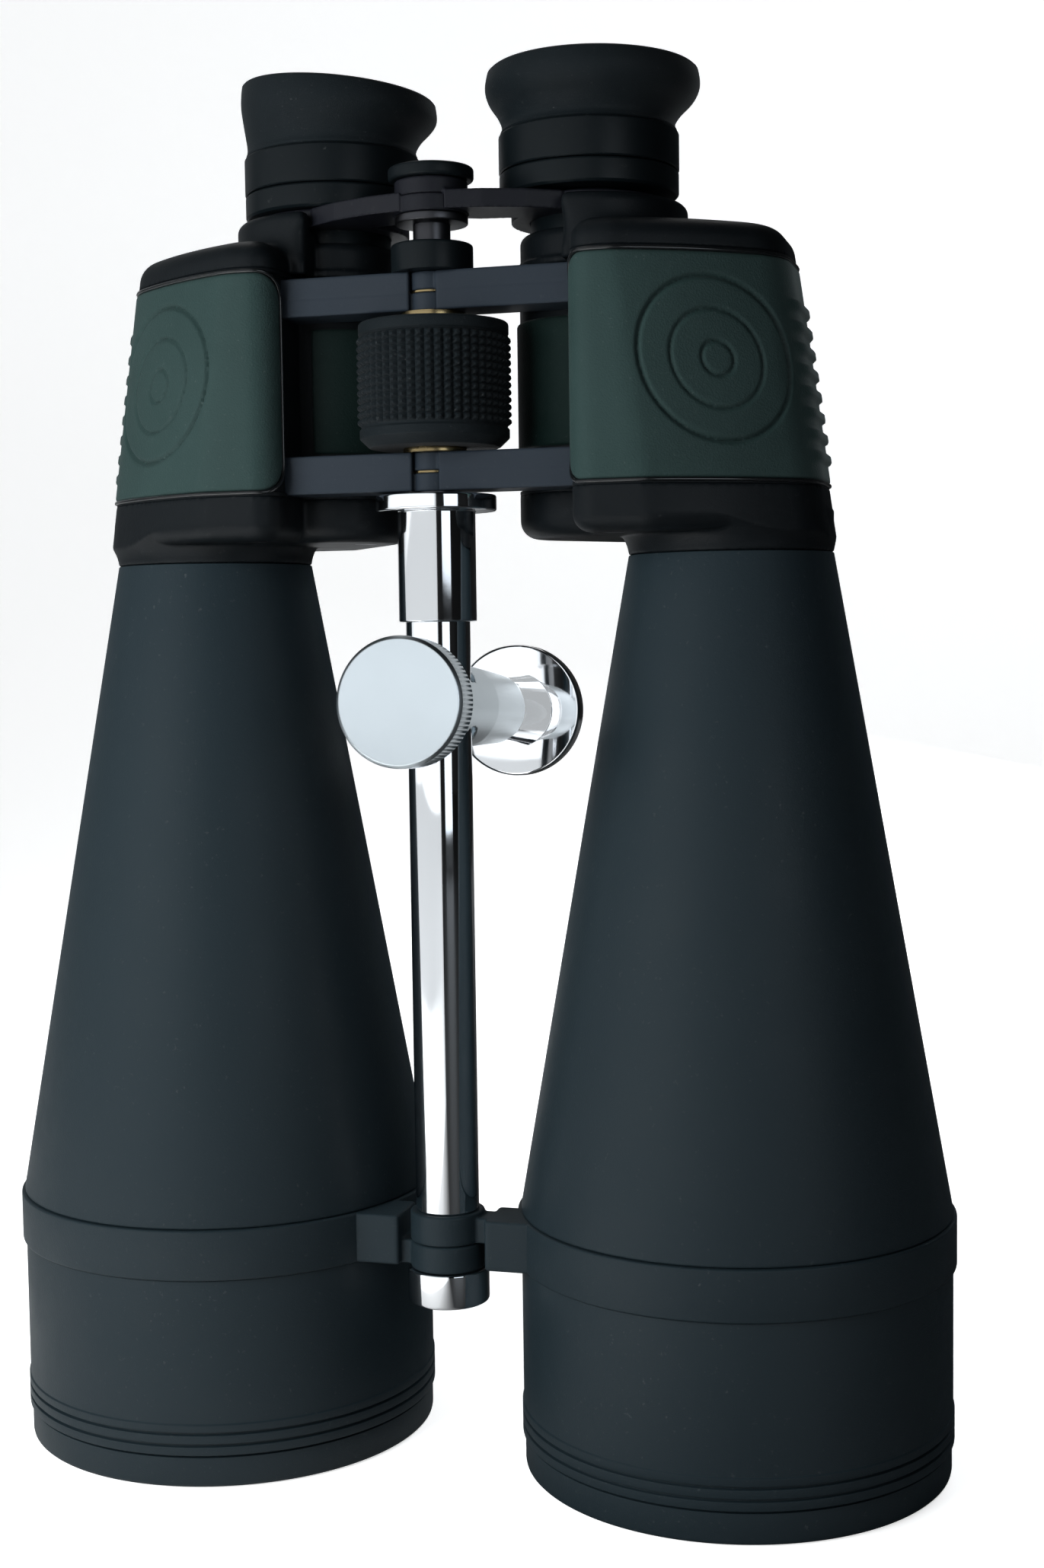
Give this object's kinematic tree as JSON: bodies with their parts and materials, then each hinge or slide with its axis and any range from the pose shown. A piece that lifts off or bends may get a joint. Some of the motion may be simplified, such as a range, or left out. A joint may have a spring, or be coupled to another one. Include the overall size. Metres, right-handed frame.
{
  "type": "giant astronomy binoculars",
  "caption": "Large Porro-prism binoculars for the night sky, with long conical barrels, centre focusing, a folding hinge and a tripod post that slides on a chromed rod.",
  "frame": {"origin": "midway between the barrel axes, in the plane of the objective rims", "axes": "+Z along the optical axes from the objectives to the eyepieces, +X towards the half called right, -Y towards the focus wheel and lock knob"},
  "size_m": [0.2228, 0.0988, 0.3148],
  "materials": {
    "black_paint": "cast aluminium under satin black textured paint",
    "slate_paint": "cast aluminium under satin slate-grey paint",
    "grey_paint": "satin dark grey paint",
    "green_rubber": "dark green rubber armour, fine grain",
    "black_rubber": "matt black rubber",
    "black_anodised": "satin black anodised",
    "black_steel": "blackened steel",
    "chrome": "mirror chrome plate",
    "brass": "turned brass",
    "optical_glass": "clear polished",
    "coated_glass": "violet anti-reflection coating"
  },
  "bodies": {
    "left_half": {"left_objective_barrel": "black_paint", "left_objective_crown": "coated_glass", "left_objective_flint": "optical_glass", "left_retaining_ring": "black_anodised", "left_cone_tube": "black_paint", "left_bridge_band": "black_paint", "left_prism_housing": "slate_paint", "left_outer_armour": "green_rubber", "left_inner_armour": "green_rubber", "left_lower_cover": "black_paint", "left_upper_cover": "black_paint", "left_cover_screws": "black_steel", "left_lower_prism": "optical_glass", "left_upper_prism": "optical_glass", "left_prism_plate": "black_anodised", "hinge_axle": "black_steel", "hinge_collar": "black_anodised", "hinge_washers": "brass", "tripod_rod": "chrome", "rod_flange": "chrome", "rod_end_cap": "chrome"},
    "right_half": {"right_objective_barrel": "black_paint", "right_objective_crown": "coated_glass", "right_objective_flint": "optical_glass", "right_retaining_ring": "black_anodised", "right_cone_tube": "black_paint", "right_bridge_band": "black_paint", "right_prism_housing": "slate_paint", "right_outer_armour": "green_rubber", "right_inner_armour": "green_rubber", "right_lower_cover": "black_paint", "right_upper_cover": "black_paint", "right_cover_screws": "black_steel", "right_lower_prism": "optical_glass", "right_upper_prism": "optical_glass", "right_prism_plate": "black_anodised"},
    "focus_wheel_body": {"focus_wheel": "black_rubber"},
    "left_eyepiece_bridge": {"focus_spindle": "black_steel", "focus_nut": "brass", "focus_pin": "black_steel", "spindle_cap": "black_anodised", "left_eyepiece_tube": "black_anodised", "left_eyepiece_arm": "grey_paint", "left_field_lens": "optical_glass"},
    "diopter_ring_body": {"left_diopter_ring": "black_anodised"},
    "left_ocular": {"left_ocular_head": "black_anodised", "left_eyecup": "black_rubber", "left_eye_lens": "coated_glass"},
    "right_eyepiece_bridge": {"right_eyepiece_tube": "black_anodised", "right_eyepiece_arm": "grey_paint", "right_eyepiece_ring": "black_anodised", "right_ocular_head": "black_anodised", "right_eyecup": "black_rubber", "right_eye_lens": "coated_glass", "right_field_lens": "optical_glass"},
    "post_carriage": {"clamp_liner": "brass"},
    "tripod_post": {"adapter_post": "chrome", "adapter_foot": "chrome"},
    "lock_screw_body": {"lock_screw": "chrome"},
    "lock_knob_body": {"lock_knob": "chrome"}
  },
  "joints": [
    {"name": "pupil_distance_hinge", "type": "hinge", "parent": "left_half", "child": "right_half", "pos_m": [0, -0.0205, 0.24], "axis": [0, 0, 1], "range_deg": [-23, 10]},
    {"name": "focus_wheel_turn", "type": "hinge", "parent": "left_half", "child": "focus_wheel_body", "pos_m": [0, -0.0205, 0.243], "axis": [0, 0, 1], "range_deg": [-31, 361]},
    {"name": "left_bridge_slide", "type": "slide", "parent": "left_half", "child": "left_eyepiece_bridge", "axis": [0, 0, 1], "range_m": [-0.00067, 0.008]},
    {"name": "right_bridge_slide", "type": "slide", "parent": "right_half", "child": "right_eyepiece_bridge", "axis": [0, 0, 1], "range_m": [-0.0007, 0.0081]},
    {"name": "diopter_turn", "type": "hinge", "parent": "left_eyepiece_bridge", "child": "diopter_ring_body", "pos_m": [-0.0305, 0, 0.287], "axis": [0, 0, 1], "range_deg": [-5.5, 120.5]},
    {"name": "left_ocular_slide", "type": "slide", "parent": "left_eyepiece_bridge", "child": "left_ocular", "axis": [0, 0, 1], "range_m": [-0.00011, 0.0027]},
    {"name": "post_slide", "type": "slide", "parent": "left_half", "child": "post_carriage", "axis": [0, 0, 1], "range_m": [-0.092, 0.007]},
    {"name": "post_swivel", "type": "hinge", "parent": "post_carriage", "child": "tripod_post", "pos_m": [0, -0.0205, 0.173], "axis": [0, 0, 1], "range_deg": [-4, 4]},
    {"name": "lock_screw_travel", "type": "slide", "parent": "tripod_post", "child": "lock_screw_body", "axis": [0, -0.9984, 0.0558], "range_m": [0, 0.00187]},
    {"name": "lock_knob_turn", "type": "hinge", "parent": "lock_screw_body", "child": "lock_knob_body", "pos_m": [0, -0.04446, 0.17434], "axis": [0, -0.9984, 0.0558], "range_deg": [-1, 541]}
  ],
  "couplings": [
    {"joint": "focus_wheel_turn", "follows": "left_bridge_slide", "rad_per_m": 785.4},
    {"joint": "right_bridge_slide", "follows": "left_bridge_slide", "ratio": 1},
    {"joint": "diopter_turn", "follows": "left_ocular_slide", "rad_per_m": 775.7},
    {"joint": "lock_knob_turn", "follows": "lock_screw_travel", "rad_per_m": 5026.5}
  ]
}
